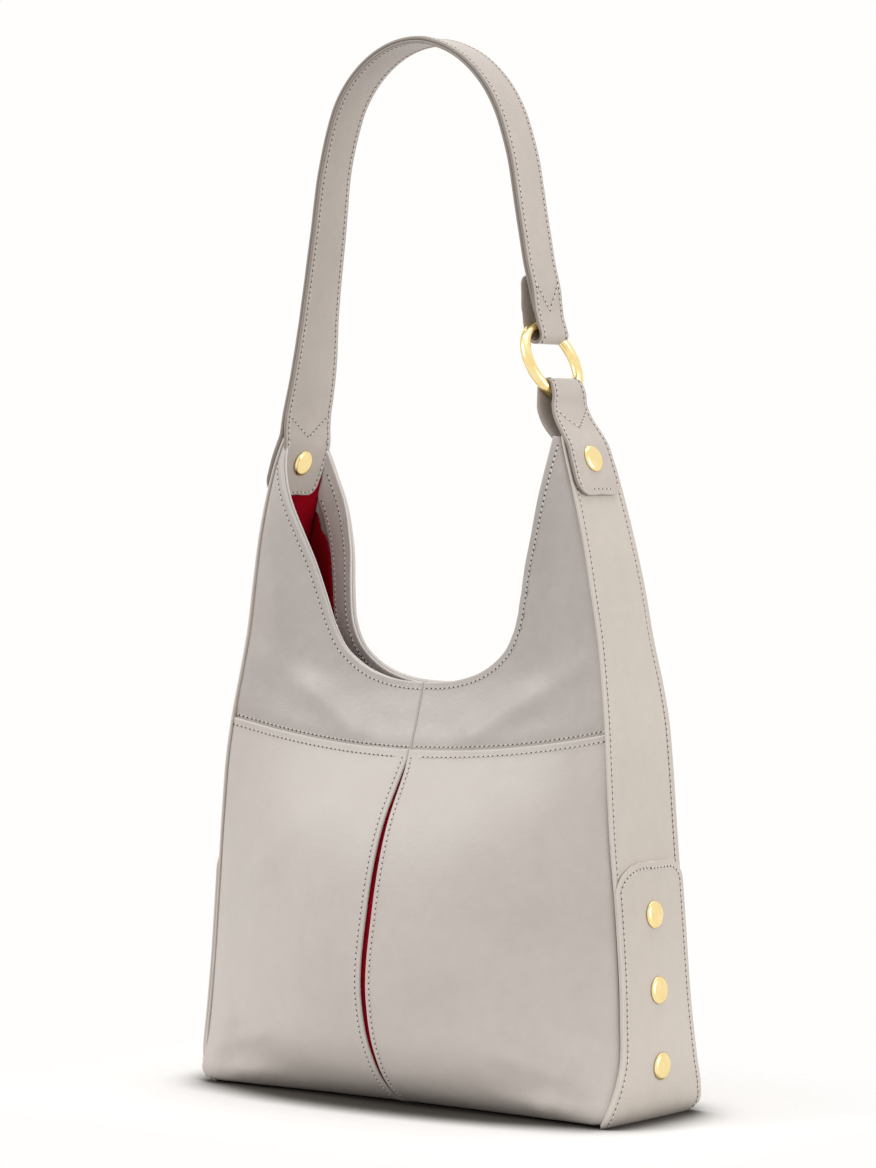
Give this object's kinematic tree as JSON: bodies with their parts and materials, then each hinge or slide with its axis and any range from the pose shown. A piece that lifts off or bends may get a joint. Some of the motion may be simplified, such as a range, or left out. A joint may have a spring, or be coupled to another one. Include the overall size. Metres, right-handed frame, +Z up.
{
  "type": "hobo bag",
  "caption": "Soft leather hobo bag with an open mouth between two raised horns, a slit front, studded side patches, and a shoulder strap joined at one end through a metal ring.",
  "frame": {"origin": "middle of the underside of the base", "axes": "+Z up, the front with the slit faces -Y, the ring end of the strap is at +X"},
  "size_m": [0.253, 0.1224, 0.4957],
  "materials": {
    "front_leather": "smooth satin calf leather",
    "yoke_leather": "smooth satin calf leather, slightly darker",
    "side_leather": "smooth satin calf leather",
    "strap_leather": "smooth satin calf leather with painted edges",
    "lining_suede": "deep crimson suede",
    "gold_metal": "polished pale gold plating",
    "stiff_board": "grey board"
  },
  "bodies": {
    "bag": {"front_panel_left": "front_leather", "front_panel_right": "front_leather", "back_panel": "front_leather", "front_yoke_left": "yoke_leather", "front_yoke_right": "yoke_leather", "back_yoke_left": "yoke_leather", "back_yoke_right": "yoke_leather", "gusset_left": "side_leather", "gusset_right": "side_leather", "side_patch_left": "side_leather", "side_patch_right": "side_leather", "base_panel": "side_leather", "facing_front": "strap_leather", "facing_back": "strap_leather", "facing_side_left": "strap_leather", "facing_side_right": "strap_leather", "strap_end_outer": "strap_leather", "strap_end_inner": "strap_leather", "ring_tab_outer": "strap_leather", "ring_tab_inner": "strap_leather", "slit_inset": "lining_suede", "lining_front": "lining_suede", "lining_back": "lining_suede", "lining_side_left": "lining_suede", "lining_side_right": "lining_suede", "lining_base": "lining_suede", "side_studs_left": "gold_metal", "side_studs_right": "gold_metal", "side_stud_backs_left": "gold_metal", "side_stud_backs_right": "gold_metal", "tab_rivet": "gold_metal", "tab_rivet_cap": "gold_metal", "strap_rivet": "gold_metal", "strap_rivet_cap": "gold_metal", "magnetic_snap_socket": "gold_metal", "magnetic_snap_button": "gold_metal", "base_board": "stiff_board"},
    "strap": {"ring_tab_loop": "strap_leather", "strap_outer": "strap_leather", "strap_inner": "strap_leather"},
    "ring": {"ring": "gold_metal"}
  },
  "joints": [
    {"name": "strap_fold", "type": "hinge", "parent": "bag", "child": "strap", "pos_m": [0, 0, 0.318], "axis": [1, 0, 0], "range_deg": [-40, 40]},
    {"name": "ring_turn", "type": "hinge", "parent": "strap", "child": "ring", "pos_m": [0.0624, 0, 0.343], "axis": [0.9063, 0, 0.4226], "continuous": true}
  ]
}
